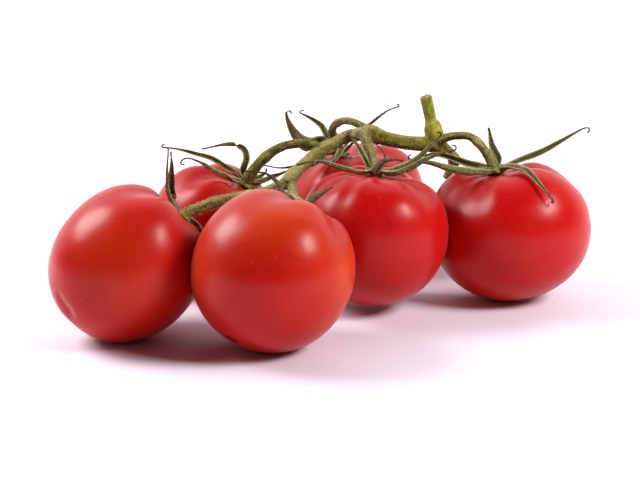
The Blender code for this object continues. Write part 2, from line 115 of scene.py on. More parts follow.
# Uncoated paper: no shine, only the faintest cloud of grain.
paper, tree, shader, position = new_material("matt_white_paper", {
    "Roughness": 0.9, "Specular IOR Level": 0.15, "Emission Color": hexcolour("#ffffff")})
cloud = add(tree, NOISE, {"Vector": position, "Scale": 40.0, "Detail": 3.0})
shade = add(tree, MIX, {0: cloud, 6: hexcolour("#f0e5f2"), 7: hexcolour("#f5ebf7")},
            data_type="RGBA")
tree.links.new(shade.outputs[2], shader.inputs["Base Color"])
# Far from the truss the paper glows with painted light, an emission that grows with distance, so it runs
# into the white.
distance = add(tree, VECTOR, (position,), operation="LENGTH")
painted_glow = add(tree, RANGE, (distance.outputs["Value"], *PAINTED_GLOW_REACH, 0.0, PAINTED_GLOW_STRENGTH),
           interpolation_type="SMOOTHSTEP")
tree.links.new(painted_glow.outputs[0], shader.inputs["Emission Strength"])

mesh = bpy.data.meshes.new("table")
corners = [(x * FLOOR_HALF, y * FLOOR_HALF, -0.05 * MM) for x, y in ((-1, -1), (1, -1), (1, 1), (-1, 1))]
mesh.from_pydata(corners, [], [(0, 1, 2, 3)])
mesh.materials.append(paper)
set_out("table", mesh)

studio = bpy.data.worlds.new("white_studio")
studio.use_nodes = True
tree = studio.node_tree
backdrop = tree.nodes["Background"]
direction = add(tree, "ShaderNodeTexCoord").outputs["Generated"]
axes = add(tree, "ShaderNodeSeparateXYZ", (direction,))
reach = add(tree, MATH, (axes.outputs["Z"], 0.15, axes.outputs["Y"]), operation="MULTIPLY_ADD")
glow = add(tree, RANGE, (reach, 0.10, 0.65, 0.05, 1.35), interpolation_type="SMOOTHSTEP")
tree.links.new(glow.outputs[0], backdrop.inputs["Strength"])
backdrop.inputs["Color"].default_value = hexcolour("#ffffff")
bpy.context.scene.world = studio

for name, (place, side, power) in SOFTBOXES.items():
    light = bpy.data.lights.new(name, "AREA")
    light.shape = "SQUARE"
    light.size = side
    light.energy = power
    lamp = set_out(name, light)
    lamp.location = place
    lamp.rotation_euler = (Vector(LIT_AT) - Vector(place)).to_track_quat("-Z", "Y").to_euler()

lens = bpy.data.cameras.new("camera")
lens.lens = 70.0
lens.sensor_width = 36.0
camera = set_out("camera", lens)
camera.location = CAMERA_PLACE
camera.rotation_euler = (math.radians(90.0 - CAMERA_PITCH), 0.0, 0.0)
bpy.context.scene.camera = camera
bpy.context.scene.view_settings.view_transform = "Standard"


# ------------------------------------------------------------ the six fruits
# Ripe tomatoes, ribbed at the shoulders and hollowed round the stalk. The skin is thin,
# waxy and faintly see-through: deep red, with orange patches where a fruit ripened last.
SEGMENTS, RINGS = 192, 96
BULGE = 0.94                     # exponent of the outline: below 1 the sides are fuller
BLOSSOM_DIMPLE = 0.065           # dimple at the blossom end, as a share of the half height
BLOSSOM_WIDTH = 0.10
SCAR_AT = 3.09                   # angle from the stem end at which the blossom's scar starts
GROOVE_POLAR = 0.62              # angle from the stem end at which a groove is deepest
GROOVE_REACH = 0.62
GROOVE_SLOTS = 9
WRINKLES = 29                    # fine creases round the stem end
WRINKLE_DEPTH = 0.003            # as a share of the radius, like the next
UNEVENNESS = 0.022
GAP = 0.35                       # air between fruits that lean on each other

# A fruit: place on the table, radius, half height, squareness of its shoulders, depth and
# width of its hollow, direction of its stem end, and its grooves: angle in degrees from
# the front, depth as a share, and sharpness. Then its orange patches and its dents: where
# each lies as a direction from the fruit's middle, how tight it is, and how strong it is,
# or how deep in millimetres (less than 0 for a lump).
FRUITS = {
    "front_left": dict(
        place=(-89.6, -56.5), radius=32.0, half_height=35.0, shoulder=0.88,
        hollow=(6.0, 0.36), stem_end=(0.66, 0.30, 0.68),
        grooves=((-60, 0.08, 14), (20, 0.05, 14), (95, 0.08, 14), (150, 0.08, 14)),
        orange=(((-0.15, -0.85, 0.45), 5.0, 0.26), ((0.25, -0.95, -0.20), 9.0, 0.20)),
        dents=(((-0.66, -0.62, -0.42), 180.0, 1.6), ((-0.74, -0.60, -0.27), 300.0, 0.8))),
    "front_centre": dict(
        place=(-26.8, -71.2), radius=34.0, half_height=34.2, shoulder=0.90,
        hollow=(6.0, 0.36), stem_end=(0.50, 0.42, 0.76),
        grooves=((-45, 0.09, 14), (30, 0.07, 14), (110, 0.07, 14), (-120, 0.07, 14)),
        orange=(((0.02, -0.55, 0.80), 6.0, 0.50), ((0.92, -0.38, 0.0), 5.0, 0.65),
                ((-0.95, -0.25, 0.05), 6.0, 0.50)),
        dents=(((0.35, -0.40, 0.85), 60.0, 0.6), ((0.77, 0.15, 0.61), 25.0, -1.8))),
    "middle": dict(
        place=(17.9, -15.0), radius=34.6, half_height=34.3, shoulder=0.78,
        hollow=(7.5, 0.50), stem_end=(0.06, 0.0, 1.0),
        grooves=((-62, 0.08, 14), (0, 0.05, 14), (62, 0.08, 14), (120, 0.10, 14),
                 (-120, 0.10, 14), (180, 0.07, 14), (-32, 0.05, 70), (32, 0.02, 60),
                 (-88, 0.09, 60)),
        orange=(((0.30, -0.90, -0.45), 8.0, 0.10),),
        dents=(((-0.55, -0.35, 0.75), 120.0, 1.3), ((-0.80, -0.15, 0.60), 120.0, 1.5),
               ((-0.68, -0.30, 0.66), 120.0, -1.2), ((0.60, -0.10, 0.79), 7.0, 2.6))),
    "right": dict(
        place=(84.2, 5.0), radius=37.9, half_height=34.0, shoulder=0.86,
        hollow=(7.0, 0.40), stem_end=(-0.18, 0.0, 1.0),
        grooves=((-80, 0.09, 14), (-45, 0.10, 14), (5, 0.05, 14), (90, 0.12, 14),
                 (150, 0.09, 14), (-140, 0.08, 14), (-64, 0.03, 60), (-28, 0.03, 60)),
        orange=(((0.2, -0.6, -0.6), 4.0, 0.06),),
        dents=(((-0.78, 0.0, 0.62), 8.0, -3.5),)),
    "back_left": dict(
        place=(-58.4, 11.0), radius=31.0, half_height=33.0, shoulder=0.80,
        hollow=(7.5, 0.42), stem_end=(0.42, -0.12, 0.88),
        grooves=((-60, 0.10, 14), (0, 0.08, 14), (62, 0.08, 14), (120, 0.09, 14),
                 (-120, 0.12, 14)),
        orange=(((-0.6, 0.5, -0.2), 3.0, 0.2),), dents=()),
    "back_centre": dict(
        place=(12.0, 68.0), radius=36.4, half_height=33.5, shoulder=0.76,
        hollow=(8.0, 0.44), stem_end=(-0.20, -0.05, 1.0),
        grooves=((-60, 0.08, 14), (0, 0.08, 14), (62, 0.10, 14), (120, 0.09, 14),
                 (-120, 0.08, 14), (170, 0.05, 14)),
        orange=(((0.3, 0.9, 0.1), 3.0, 0.3),), dents=()),
}
PRESSED = {"front_left": "front_centre", "front_centre": "front_left", "middle": "right",
           "right": "middle"}


def interface(tree, floats=(), geometry=False):
    """Give a tree its output and its named inputs, and return the inputs by name."""
    tree.interface.new_socket("Geometry", in_out="OUTPUT", socket_type="NodeSocketGeometry")
    if geometry:
        tree.interface.new_socket("Geometry", in_out="INPUT", socket_type="NodeSocketGeometry")
    for name in floats:
        tree.interface.new_socket(name, in_out="INPUT", socket_type="NodeSocketFloat")
    tree.interface.new_socket("Material", in_out="INPUT", socket_type="NodeSocketMaterial")
    return {socket.name: socket for socket in tree.nodes.new("NodeGroupInput").outputs}


def close_tree(tree, geometry, inlet):
    """End a tree: smooth shading, real geometry, material."""
    smooth = add(tree, "GeometryNodeSetShadeSmooth", (geometry,))
    real = add(tree, "GeometryNodeRealizeInstances", (smooth,))
    painted = add(tree, "GeometryNodeSetMaterial", {0: real, 2: inlet["Material"]})
    add(tree, "NodeGroupOutput", (painted,))


def finished(holder, name):
    """What an object's modifiers make, as a plain mesh. The object goes."""
    graph = bpy.context.evaluated_depsgraph_get()
    made = bpy.data.meshes.new_from_object(holder.evaluated_get(graph), depsgraph=graph)
    bpy.data.objects.remove(holder, do_unlink=True)
    made.name = name
    return made


def grow(tree, name, values, source=None):
    """Run a tree on a mesh and keep what it makes as a plain mesh."""
    holder = set_out(name, source or bpy.data.meshes.new(name))
    modifier = holder.modifiers.new("grow", "NODES")
    modifier.node_group = tree
    for socket in tree.interface.items_tree:
        if socket.in_out == "INPUT" and socket.name in values:
            modifier[socket.identifier] = values[socket.name]
    return finished(holder, name)


def place_piece(mesh, nodes):
    """Show a finished mesh as the piece that stands for these nodes."""
    piece = set_out(mesh.name, mesh)
    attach(piece, "root")
    if nodes:
        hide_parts(*nodes)
    return piece


def points_of(mesh):
    """The mesh's points as an array."""
    points = np.empty(3 * len(mesh.vertices))
    mesh.vertices.foreach_get("co", points)
    return points.reshape(-1, 3)


def mark_points(mesh, mark, values):
    """Keep a value for each point of a mesh, for a material or a tree to read."""
    mesh.attributes.new(mark, "FLOAT", "POINT").data.foreach_set("value", values)


def bell(tree, away):
    """A smooth hump: 1 where a value is 0, falling to nothing on both sides of it."""
    hump = add(tree, MATH, (away, away), operation="MULTIPLY")
    for operation, *others in (("MULTIPLY", -1.0), ("EXPONENT",)):
        hump = add(tree, MATH, (hump, *others), operation=operation)
    return hump


form = bpy.data.node_groups.new("tomato_form", "GeometryNodeTree")
inlet = interface(form, ["Radius", "Half Height", "Shoulder", "Hollow Depth", "Hollow Width", "Seed"]
                  + [f"Groove {k} {what}" for k in range(GROOVE_SLOTS)
                     for what in ("Angle", "Depth", "Sharpness")])
radius, half_height = inlet["Radius"], inlet["Half Height"]
ball = add(form, "GeometryNodeMeshUVSphere", (SEGMENTS, RINGS, 1.0))
spot = add(form, "GeometryNodeInputPosition")
x, y, c = add(form, "ShaderNodeSeparateXYZ", (spot,)).outputs
polar = add(form, MATH, (c,), operation="ARCCOSINE")
front = add(form, MATH, (y, -1.0), operation="MULTIPLY")
azimuth = add(form, MATH, (x, front), operation="ARCTAN2")
rho = polar
for operation, *others in (("SINE",), ("POWER", BULGE), ("MULTIPLY", radius)):
    rho = add(form, MATH, (rho, *others), operation=operation)
bells = []                       # the hollow at the stem end and the dimple at the other
for width in (inlet["Hollow Width"], BLOSSOM_WIDTH):
    brim = add(form, MATH, (radius, width), operation="MULTIPLY")
    bells.append(bell(form, add(form, MATH, (rho, brim), operation="DIVIDE")))
dip = add(form, MATH, (bells[0], inlet["Hollow Depth"]), operation="MULTIPLY")
upper = c
for operation, other in (("MAXIMUM", 0.0), ("POWER", inlet["Shoulder"]), ("MULTIPLY", half_height),
                         ("SUBTRACT", dip)):
    upper = add(form, MATH, (upper, other), operation=operation)
lower = add(form, MATH, (bells[1], BLOSSOM_DIMPLE, c), operation="MULTIPLY_ADD")
lower = add(form, MATH, (lower, half_height), operation="MULTIPLY")
is_upper = add(form, MATH, (c, 0.0), operation="GREATER_THAN")
height = add(form, MIX, {0: is_upper, 2: lower, 3: upper})
cut = 0.0
for k in range(GROOVE_SLOTS):
    groove = azimuth
    for operation, *others in (
            ("SUBTRACT", inlet[f"Groove {k} Angle"]), ("COSINE",), ("SUBTRACT", 1.0),
            ("MULTIPLY", inlet[f"Groove {k} Sharpness"]), ("EXPONENT",),
            ("MULTIPLY_ADD", inlet[f"Groove {k} Depth"], cut)):
        groove = add(form, MATH, (groove, *others), operation=operation)
    cut = groove
off = add(form, MATH, (polar, GROOVE_POLAR), operation="SUBTRACT")
off = add(form, MATH, (off, GROOVE_REACH), operation="DIVIDE")
near = add(form, MATH, (radius, 0.25), operation="MULTIPLY")
near = add(form, MATH, (rho, near), operation="DIVIDE")
near = add(form, MATH, (near, 1.0), operation="MINIMUM")
fade = add(form, MATH, (bell(form, off), near), operation="MULTIPLY")
cut = add(form, MATH, (cut, fade), operation="MULTIPLY")
waver, swell = [add(form, NOISE, {"Vector": spot, "W": inlet["Seed"], "Scale": scale,
                                                 "Detail": detail}, noise_dimensions="4D")
                for scale, detail in ((3.0, 1.0), (1.5, 2.0))]
# Fine creases that gather at the stalk and run out over the shoulder.
many = add(form, MATH, (azimuth, float(WRINKLES)), operation="MULTIPLY")
gather = polar
for operation, *others in (("MULTIPLY", -2.6), ("EXPONENT",), ("MULTIPLY", near)):
    gather = add(form, MATH, (gather, *others), operation=operation)
for operation, *others in (("MULTIPLY_ADD", 9.0, many), ("SINE",), ("MULTIPLY", gather),
                           ("MULTIPLY_ADD", WRINKLE_DEPTH, cut)):
    waver = add(form, MATH, (waver, *others), operation=operation)
# No fruit is turned on a lathe: the whole form swells and sinks by a few tenths.
for operation, *others in (("SUBTRACT", 0.5), ("MULTIPLY_ADD", UNEVENNESS, waver)):
    swell = add(form, MATH, (swell, *others), operation=operation)
scale = add(form, MATH, (1.0, swell), operation="SUBTRACT")
turned = [add(form, MATH, (azimuth,), operation=wave) for wave in ("SINE", "COSINE")]
sideways, forwards = [add(form, MATH, (part, rho), operation="MULTIPLY") for part in turned]
forwards = add(form, MATH, (forwards, -1.0), operation="MULTIPLY")
outline = add(form, "ShaderNodeCombineXYZ", (sideways, forwards, height))
outline = add(form, VECTOR, {0: outline, "Scale": scale}, operation="SCALE")
meridian = add(form, "ShaderNodeCombineXYZ", (*turned, polar))
shaped = ball.outputs["Mesh"]
for mark, value, kind in (("meridian", meridian, "FLOAT_VECTOR"), ("groove", swell, "FLOAT")):
    shaped = add(form, "GeometryNodeStoreNamedAttribute", {0: shaped, "Name": mark, "Value": value},
                 data_type=kind)
shaped = add(form, "GeometryNodeSetPosition", {0: shaped, 2: outline})
close_tree(form, shaped, inlet)

# Tomato skin: a thin clear wax over red flesh. It gives broad soft highlights, a pale
# sheen at the edges, fine streaks from stem to blossom end and sparse pale pores.
skin, tree, shader, position = new_material("waxy_tomato_skin", {
    "IOR": 1.45, "Specular IOR Level": 0.24, "Coat Weight": 0.04, "Coat Roughness": 0.20,
    "Sheen Weight": 0.05, "Sheen Roughness": 0.35, "Subsurface Weight": 0.10,
    "Subsurface Scale": 2.0 * MM, "Subsurface Radius": (1.0, 0.25, 0.1)})
along = add(tree, "ShaderNodeAttribute", attribute_name="meridian").outputs["Vector"]
orange, groove = [add(tree, "ShaderNodeAttribute", attribute_name=name).outputs["Fac"]
                  for name in ("orange", "groove")]
stretched = add(tree, "ShaderNodeMapping", {"Vector": along, "Scale": (14.0, 14.0, 1.2)})
streaks = add(tree, NOISE, {"Vector": stretched, "Scale": 1.0, "Detail": 3.0, "Roughness": 0.6})
# Clouds of tone, paler cells of flesh half a millimetre across that show through, and the
# fine and the broad unevenness of the skin.
clouds, cells, grain, uneven = [
    add(tree, NOISE, {"Vector": position, "Scale": scale, "Detail": detail, "Roughness": rough})
    for scale, detail, rough in ((55.0, 4.0, 0.55), (1100.0, 2.0, 0.5), (900.0, 2.0, 0.5),
                                 (130.0, 2.0, 0.5))]
cell = add(tree, RANGE, (cells, 0.45, 0.75, 0.0, 0.32))
streak = add(tree, RANGE, (streaks, 0.35, 0.75, 0.0, 0.35))
patchy = add(tree, RANGE, (clouds, 0.3, 0.7, 0.55, 1.15))
mellow = add(tree, MATH, (orange, patchy), operation="MULTIPLY", use_clamp=True)
# Painted shade: the grooves are painted a darker red, where shade falls in them.
painted_groove_shade = add(tree, RANGE, (groove, 0.02, 0.10, 0.0, 0.45))
# The blossom's scar: a corky brown dot at the far end of every streak.
far_end = add(tree, "ShaderNodeSeparateXYZ", (along,)).outputs["Z"]
scar = add(tree, RANGE, (far_end, SCAR_AT - 0.012, SCAR_AT + 0.012, 0.0, 0.9))
# Pores: one to each 4 mm cell, 0.3 mm across, and two in three of them too faint to see.
pores = add(tree, "ShaderNodeTexVoronoi", {"Vector": position, "Scale": 250.0}, feature="F1")
chosen = add(tree, MATH, (add(tree, "ShaderNodeSeparateColor",
             (pores.outputs["Color"],)), 0.66), operation="GREATER_THAN")
pore = add(tree, RANGE, (pores.outputs["Distance"], 0.035, 0.07, 0.45, 0.0))
pore = add(tree, MATH, (pore, chosen), operation="MULTIPLY")
colour = add(tree, MIX, {0: clouds, 6: hexcolour("#a90005"), 7: hexcolour("#ba0206")},
             data_type="RGBA")
for share, code in ((cell, "#d0301a"), (streak, "#b60a05"), (mellow, "#c8460d"), (painted_groove_shade, "#8a0008"),
                    (scar, "#5d4024"), (pore, "#e8a05c")):
    colour = add(tree, MIX, {0: share, 6: colour.outputs[2], 7: hexcolour(code)}, data_type="RGBA")
tree.links.new(colour.outputs[2], shader.inputs["Base Color"])
dull = add(tree, RANGE, (clouds, 0.3, 0.7, 0.30, 0.36))
tree.links.new(dull.outputs[0], shader.inputs["Roughness"])
bump = None
for strength, distance, height in ((0.08, 0.05, grain), (0.35, 0.25, uneven)):
    bump = add(tree, "ShaderNodeBump", {"Strength": strength, "Distance": distance * MM,
                                        "Height": height, "Normal": bump})
tree.links.new(bump.outputs[0], shader.inputs["Normal"])


def leaning(away, toward, tightness):
    """How near points lie to a direction: 1 towards it, falling to nothing round it."""
    return np.exp(tightness * (away @ np.array(Vector(toward).normalized()) - 1.0))


FRONT = Vector((0.0, -1.0, 0.0))
fruit_skins = {}
for number, (name, fruit) in enumerate(FRUITS.items()):
    values = {"Radius": fruit["radius"] * MM, "Half Height": fruit["half_height"] * MM,
              "Shoulder": fruit["shoulder"], "Hollow Depth": fruit["hollow"][0] * MM,
              "Hollow Width": fruit["hollow"][1], "Seed": 3.7 * number, "Material": skin}
    for k, (angle, depth, sharpness) in enumerate(fruit["grooves"]):
        values[f"Groove {k} Angle"] = math.radians(angle)
        values[f"Groove {k} Depth"] = depth
        values[f"Groove {k} Sharpness"] = float(sharpness)
    mesh = grow(form, "ripe_tomato_" + name, values)
    up = Vector(fruit["stem_end"]).normalized()
    front = (FRONT - FRONT.dot(up) * up).normalized()
    turn = Matrix((up.cross(front), -front, up)).transposed()
    points = points_of(mesh) @ np.array(turn).T
    middle = np.array((*fruit["place"], 0.0)) * MM
    middle[2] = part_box("tomato_" + name)[1][2] - points[:, 2].max()
    away = points / np.linalg.norm(points, axis=1)[:, None]
    flush = sum(strength * leaning(away, toward, tightness)
                for toward, tightness, strength in fruit["orange"])
    for toward, tightness, depth in fruit["dents"]:
        points -= (depth * MM * leaning(away, toward, tightness))[:, None] * away
    points += middle
    if name in PRESSED:
        other = FRUITS[PRESSED[name]]
        apart = (np.array(other["place"]) - np.array(fruit["place"])) * MM
        length = np.linalg.norm(apart)
        own_share = fruit["radius"] / (fruit["radius"] + other["radius"])
        beyond = (points[:, :2] - middle[:2]) @ (apart / length) - (own_share * length - 0.5 * GAP * MM)
        points[:, :2] -= np.maximum(beyond, 0.0)[:, None] * (apart / length)
    points[:, 2] = np.maximum(points[:, 2], 0.0)    # its own weight presses it flat
    mesh.vertices.foreach_set("co", points.ravel())
    mark_points(mesh, "orange", flush)
    mesh.update()
    place_piece(mesh, ["tomato_" + name])
    fruit_skins[name] = BVHTree.FromPolygons([Vector(p) for p in points],
                                             [tuple(face.vertices) for face in mesh.polygons])


# ------------------------------------------------------------ the green stem
# The truss's own stem: a cut stub, knuckles where the truss was bent and grew on, six
# stalks and a bare one whose fruit is gone. All of it is one grown piece, ribbed along
# its length, olive, brown where it dried, and yellow-green where it was cut last.
SKIN_STEP = 0.38                 # spacing of the points on the stem's skin
TUBE_SIDES = 24
STALK_RIDGES = 5
RIDGE_DEPTH = 0.17
JOINT_SWELL = 0.2                # how much fatter a stalk is at its joint, as a share
JOINT_LENGTH = 0.045             # half the length of that, as a share of the stalk
RIB_STEP, RIB_GRAIN = 0.5, 0.35  # points along a stalk, and its small lumps
# The small disc of the star, where a stalk meets its fruit, and how deep its lobes are.
HUB_RADIUS, HUB_RISE, HUB_LOBES = 4.6, 1.25, 0.16
STAR_LIFT = 1.5                  # the star's middle over the fruit's skin

# A stem or stalk, from its start to its end: how far it has dried brown, how yellow-green
# and how pale it is, where along it lies the joint at which a ripe fruit snaps off,
# and its points (x, y, z, radius).
STEM_PARTS = {
    "main_stem": dict(dry=(0.10, 0.25), green=(0.40, 0.0), pale=(-0.4, 0.95), joint=None, route=(
        (49.5, 21, 71.6, 4.2), (44, 21.5, 71.8, 3.6), (34, 22, 72.5, 3.4), (24.5, 23, 74.3, 3.5),
        (18, 23, 76.4, 4.4), (12.5, 20, 77.2, 2.9), (6, 16, 76.2, 3.1), (0, 12, 74, 2.5),
        (-6.5, 7, 71.5, 3.1), (-11, 3, 68.4, 2.8), (-16.5, -3, 64.6, 2.8), (-21, -10, 60.9, 3.4),
        (-23, -13, 59, 3))),
    "stub": dict(dry=(0.15, 0.25), green=(0.8, 1.0), pale=(0.0, 0.0), joint=None, route=(
        (44, 23, 94.5, 2.95), (45.6, 23, 87.5, 2.8), (46.6, 22.6, 83, 2.9), (47.4, 22.2, 80.5, 4.1),
        (48.4, 21.8, 76, 4.5), (50, 21.5, 71.5, 4), (52.5, 22, 67.5, 3.2))),
    "bare_stalk": dict(dry=(0.3, 0.6), green=(0.2, 0.0), pale=(0.3, 0.5), joint=0.55, route=(
        (52, 22.5, 71, 2.6), (56, 26, 67, 2.5), (59, 29, 62.5, 2.9), (57.5, 30.5, 57.5, 2.2),
        (55, 30, 53, 1.6))),
    "stalk_right": dict(dry=(0.5, 0.15), green=(0.1, 0.15), pale=(0.1, 0.0), joint=0.5, route=(
        (49.5, 20, 72.5, 2.6), (50.5, 19, 73.5, 2.3), (54.5, 17, 76, 2), (59.5, 15, 77, 1.9),
        (64.5, 13, 76.8, 1.9), (69, 10, 73.5, 2), (73, 7, 68, 2.3), (76, 4.5, 62, 2.9),
        (78.5, 3.5, 56, 3.2))),
    "stalk_middle": dict(dry=(0.95, 0.6), green=(0.0, 0.1), pale=(0.0, 0.0), joint=0.16, route=(
        (7.5, 17, 76.5, 2.8), (8.5, 15, 77.5, 2.6), (13, 7, 78, 2.4), (16, -1, 73.5, 2.3),
        (17.2, -8, 69, 2.4), (18.2, -13, 64.5, 3), (19.5, -15.5, 55, 3.3))),
    "stalk_back_centre": dict(dry=(0.45, 0.3), green=(0.1, 0.1), pale=(0.0, 0.2), joint=0.45, route=(
        (18, 23.5, 76.5, 2.4), (17, 25, 78, 2.1), (9.5, 31, 81, 1.8), (4.5, 38, 80.5, 1.8),
        (0.5, 46, 77.5, 1.8), (-0.8, 55, 72, 2.1), (1.5, 62, 66.5, 2.6), (4.5, 66, 56, 3))),
    "stalk_back_left": dict(dry=(0.15, 0.1), green=(0.15, 0.25), pale=(-0.5, -0.3), joint=0.55, route=(
        (-6, 7.5, 71.8, 2.6), (-7, 7, 72.5, 2.3), (-12.5, 6.5, 74.3, 2), (-18.5, 6, 74.5, 2),
        (-25.5, 6, 73, 2.1), (-33, 6.5, 68, 2.3), (-38.5, 7, 61.8, 2.6), (-42.5, 8, 55, 3.2),
        (-45.5, 9, 49, 3.2))),
    "stalk_front_centre": dict(dry=(0.4, 0.2), green=(0.1, 0.2), pale=(0.4, 0.0), joint=0.4, route=(
        (-22.5, -13, 58.8, 2.6), (-20.5, -13, 58.3, 2.4), (-19.3, -18.5, 56, 2.1),
        (-19, -25.5, 54.6, 2.2), (-18.2, -34, 55, 2.3), (-16.5, -43, 56, 2.5), (-15, -51, 56, 2.8),
        (-15, -59, 51, 3.2))),
    "stalk_front_left": dict(dry=(0.5, 0.7), green=(0.1, 0.0), pale=(0.2, -0.2), joint=0.30, route=(
        (-23.5, -12.5, 59, 2.6), (-30, -17, 57.2, 2.2), (-37, -22.5, 56.2, 2.1),
        (-45, -29, 56, 2.1), (-53, -36, 55.4, 2.5), (-60.5, -43, 54, 2.4), (-67, -48, 51.5, 3),
        (-72, -50.5, 47, 3.2))),
}

tube = bpy.data.node_groups.new("ribbed_stalk", "GeometryNodeTree")
inlet = interface(tube, ["Step", "Ridges", "Ridge Depth", "Grain", "Joint At", "Joint Swell",
                         "Seed"], geometry=True)
line = add(tube, "GeometryNodeMeshToCurve", {0: inlet["Geometry"]})
line = add(tube, "GeometryNodeCurveSplineType", {0: line}, spline_type="CATMULL_ROM")
line = add(tube, "GeometryNodeResampleCurve", {0: line, "Length": inlet["Step"]}, mode="LENGTH")
stretch = add(tube, "GeometryNodeSplineParameter")
off = add(tube, MATH, (stretch.outputs["Factor"], inlet["Joint At"]), operation="SUBTRACT")
off = add(tube, MATH, (off, JOINT_LENGTH), operation="DIVIDE")
ring = add(tube, MATH, (bell(tube, off), inlet["Joint Swell"]), operation="MULTIPLY")
for mark, value in (("along", stretch.outputs["Length"]), ("joint", ring)):
    line = add(tube, "GeometryNodeStoreNamedAttribute", {0: line, "Name": mark, "Value": value},
               data_type="FLOAT")
girth = add(tube, "GeometryNodeInputNamedAttribute", {"Name": "radius"}, data_type="FLOAT")
girth = add(tube, MATH, (girth, ring, girth), operation="MULTIPLY_ADD")
rim = add(tube, "GeometryNodeCurvePrimitiveCircle", {"Resolution": TUBE_SIDES, "Radius": 1.0})
turn_share = add(tube, "GeometryNodeSplineParameter")
rim = add(tube, "GeometryNodeStoreNamedAttribute",
          {0: rim, "Name": "around", "Value": turn_share}, data_type="FLOAT")
wall = add(tube, "GeometryNodeCurveToMesh", {0: line, 1: rim, "Scale": girth, "Fill Caps": True})
around, along = [add(tube, "GeometryNodeInputNamedAttribute", {"Name": name}, data_type="FLOAT")
                 for name in ("around", "along")]
angle = add(tube, MATH, (around, math.tau), operation="MULTIPLY")
sides = [add(tube, MATH, (angle,), operation=wave) for wave in ("SINE", "COSINE")]
lengthwise, twist = [add(tube, MATH, (along, rate), operation="MULTIPLY")
                     for rate in (90.0, 25.0)]
streak = add(tube, NOISE,
             {"Vector": add(tube, "ShaderNodeCombineXYZ", (*sides, lengthwise)), "W": inlet["Seed"],
              "Scale": 3.0, "Detail": 3.0}, noise_dimensions="4D")
lumps = add(tube, NOISE, {"Vector": add(tube, "GeometryNodeInputPosition"),
                                         "Scale": 420.0, "Detail": 2.0})
lumps = add(tube, MATH, (lumps, 0.5), operation="SUBTRACT")
ribs = angle
for operation, *others in (("MULTIPLY_ADD", inlet["Ridges"], twist), ("SINE",),
                           ("MULTIPLY", inlet["Ridge Depth"])):
    ribs = add(tube, MATH, (ribs, *others), operation=operation)
ribs = add(tube, MATH, (lumps, inlet["Grain"], ribs), operation="MULTIPLY_ADD")
ribs = add(tube, VECTOR, {0: add(tube, "GeometryNodeInputNormal"), "Scale": ribs},
           operation="SCALE")
wall = add(tube, "GeometryNodeStoreNamedAttribute", {0: wall, "Name": "streak", "Value": streak},
           data_type="FLOAT")
wall = add(tube, "GeometryNodeSetPosition", {0: wall, 3: ribs})
close_tree(tube, wall, inlet)

# Green stem: a dull, finely hairy rind. Specks half a millimetre long run from olive to near
# black, straw-brown where it has dried; painted light makes its upper side paler, painted shade its
# underside dark brown.
rind, tree, shader, position = new_material("hairy_green_rind", {
    "Roughness": 0.72, "Specular IOR Level": 0.25})
streak, dry, green, pale, joint = [add(tree, "ShaderNodeAttribute", attribute_name=name).outputs["Fac"]
                                   for name in ("streak", "dry", "green", "pale", "joint")]
mottle = add(tree, NOISE, {"Vector": position, "Scale": 1100.0, "Detail": 4.0, "Roughness": 0.7})
patches = add(tree, NOISE, {"Vector": position, "Scale": 190.0, "Detail": 3.0})
speck = add(tree, MATH, (mottle, 0.8, streak), operation="MULTIPLY_ADD")
speck = add(tree, RANGE, (speck, 0.72, 1.08, 0.0, 1.0))
colour = add(tree, "ShaderNodeValToRGB", (speck,))
stops = ((0.0, "#191504"), (0.3, "#3d380a"), (0.65, "#6a631b"), (1.0, "#9b9346"))
ramp = colour.color_ramp
while len(ramp.elements) < len(stops):
    ramp.elements.new(0.5)
for element, (place, code) in zip(ramp.elements, stops):
    element.position, element.color = place, hexcolour(code)
straw, fresh = [add(tree, MIX, {0: speck, 6: hexcolour(dark), 7: hexcolour(light)},
                    data_type="RGBA").outputs[2]
                for dark, light in (("#301c0c", "#86693c"), ("#77760f", "#b5ad33"))]
dried = add(tree, RANGE, (patches, 0.38, 0.60, 0.15, 1.0))
dried = add(tree, MATH, (dried, dry), operation="MULTIPLY", use_clamp=True)
fresher = add(tree, RANGE, (patches, 0.30, 0.50, 0.35, 1.0))
fresher = add(tree, MATH, (fresher, green), operation="MULTIPLY")
facing = add(tree, "ShaderNodeSeparateXYZ", (add(tree, "ShaderNodeNewGeometry").outputs["Normal"],))
# Painted light: faces that look up are painted paler; the stem's own paler parts and joints add to it.
painted_top_light = add(tree, RANGE, (facing.outputs["Z"], 0.25, 0.95, 0.0, 0.38))
pale_and_painted_top_light = painted_top_light
for mark, strength in ((pale, 0.6), (joint, 3.5)):
    pale_and_painted_top_light = add(tree, MATH, (mark, strength, pale_and_painted_top_light), operation="MULTIPLY_ADD")
uneven = add(tree, RANGE, (mottle, 0.35, 0.60, 0.45, 1.0))
pale_and_painted_top_light = add(tree, MATH, (pale_and_painted_top_light, uneven), operation="MULTIPLY", use_clamp=True)
# Painted shade: faces that look down are painted dark brown.
under = add(tree, RANGE, (facing.outputs["Z"], -0.75, 0.25, 0.85, 0.0))
colour = colour.outputs[0]
for share, over in ((dried, straw), (fresher, fresh), (pale_and_painted_top_light, hexcolour("#b0a265")),
                    (under, hexcolour("#3a2a0c"))):
    colour = add(tree, MIX, {0: share, 6: colour, 7: over}, data_type="RGBA").outputs[2]
tree.links.new(colour, shader.inputs["Base Color"])
bump = add(tree, "ShaderNodeBump", {"Strength": 0.6, "Distance": 0.18 * MM, "Height": mottle})
tree.links.new(bump.outputs[0], shader.inputs["Normal"])


def route_mesh(name, points, **marks):
    """A line of points in metres, with values on them, for a tree to build along."""
    mesh = bpy.data.meshes.new(name)
    mesh.from_pydata([Vector(p) * MM for p in points], [(i, i + 1) for i in range(len(points) - 1)], [])
    for mark, values in marks.items():
        if isinstance(values[0], Vector):
            data = mesh.attributes.new(mark, "FLOAT_VECTOR", "POINT").data
            data.foreach_set("vector", [c for value in values for c in value])
        else:
            mark_points(mesh, mark, values)
    return mesh


